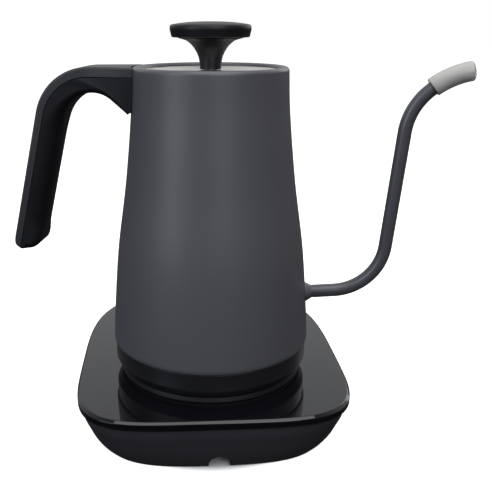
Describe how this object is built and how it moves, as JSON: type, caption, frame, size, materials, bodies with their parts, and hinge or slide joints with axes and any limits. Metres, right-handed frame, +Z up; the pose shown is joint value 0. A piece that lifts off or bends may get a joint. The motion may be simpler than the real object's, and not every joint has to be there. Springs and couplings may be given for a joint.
{
  "type": "electric kettle",
  "caption": "Gooseneck electric kettle with a loop handle, a knobbed lift-out lid and a soft spout cap, standing on a cordless power base with a touch panel.",
  "frame": {"origin": "On the standing surface, straight under the kettle's axis.", "axes": "+Z up. The spout points along +X and the handle along -X. The base's touch panel is on the +Y side, turned 9.4 degrees towards -X, and its cord notch is on the -Y side."},
  "size_m": [0.2695, 0.2084, 0.2472],
  "materials": {
    "body_paint": "satin charcoal grey powder coat",
    "soft_black": "soft matte black",
    "satin_black": "satin black",
    "gloss_black": "mirror gloss black",
    "matte_black": "fine matte grain",
    "steel": "brushed",
    "silicone": "milky translucent",
    "seal": "matte",
    "nylon": "moulded matte",
    "brass": "turned",
    "aluminium": "satin",
    "rubber": "matte",
    "board": "solder mask",
    "glass": "polished dark window"
  },
  "bodies": {
    "base": {"base_plate": "gloss_black", "seat_ring": "satin_black", "base_housing": "matte_black", "bottom_cover": "matte_black", "base_connector": "nylon", "touch_panel": "glass", "display_module": "matte_black", "control_board": "board", "power_board": "board", "transformer": "nylon", "relay": "nylon", "capacitor": "aluminium", "cord_gland": "rubber", "foot_1": "rubber", "foot_2": "rubber", "foot_3": "rubber", "foot_4": "rubber", "base_screw_1": "steel", "base_screw_2": "steel", "base_screw_3": "steel", "base_screw_4": "steel"},
    "collar": {"splash_collar": "nylon"},
    "kettle": {"body_shell": "body_paint", "neck_ring": "steel", "heating_plate": "steel", "heating_element": "aluminium", "temperature_probe": "steel", "thermostat_left": "aluminium", "thermostat_right": "aluminium", "body_skirt": "satin_black", "kettle_cover": "matte_black", "kettle_connector": "nylon", "contact_ring_outer": "brass", "contact_ring_inner": "brass", "earth_pin": "brass", "spout_tube": "body_paint", "spout_collar": "body_paint", "spout_strainer": "steel", "handle_grip": "soft_black", "handle_top_strip": "satin_black", "handle_bracket": "steel", "handle_screw_left": "steel", "handle_screw_right": "steel"},
    "lid": {"lid_plate": "steel", "lid_skirt": "nylon", "lid_seal": "seal", "knob_stem": "soft_black", "knob_disc": "soft_black", "knob_screw": "steel"},
    "cap": {"spout_cap": "silicone"}
  },
  "joints": [
    {"name": "kettle_turn", "type": "hinge", "parent": "base", "child": "collar", "pos_m": [0, 0, 0.0368], "axis": [0, 0, 1], "continuous": true},
    {"name": "kettle_lift", "type": "slide", "parent": "collar", "child": "kettle", "axis": [0, 0, 1], "range_m": [0, 0.06]},
    {"name": "lid_lift", "type": "slide", "parent": "kettle", "child": "lid", "axis": [0, 0, 1], "range_m": [0, 0.05]},
    {"name": "cap_slip", "type": "hinge", "parent": "kettle", "child": "cap", "pos_m": [0.15569, 0, 0.17303], "axis": [0, 1, 0], "range_deg": [0, 30]}
  ]
}
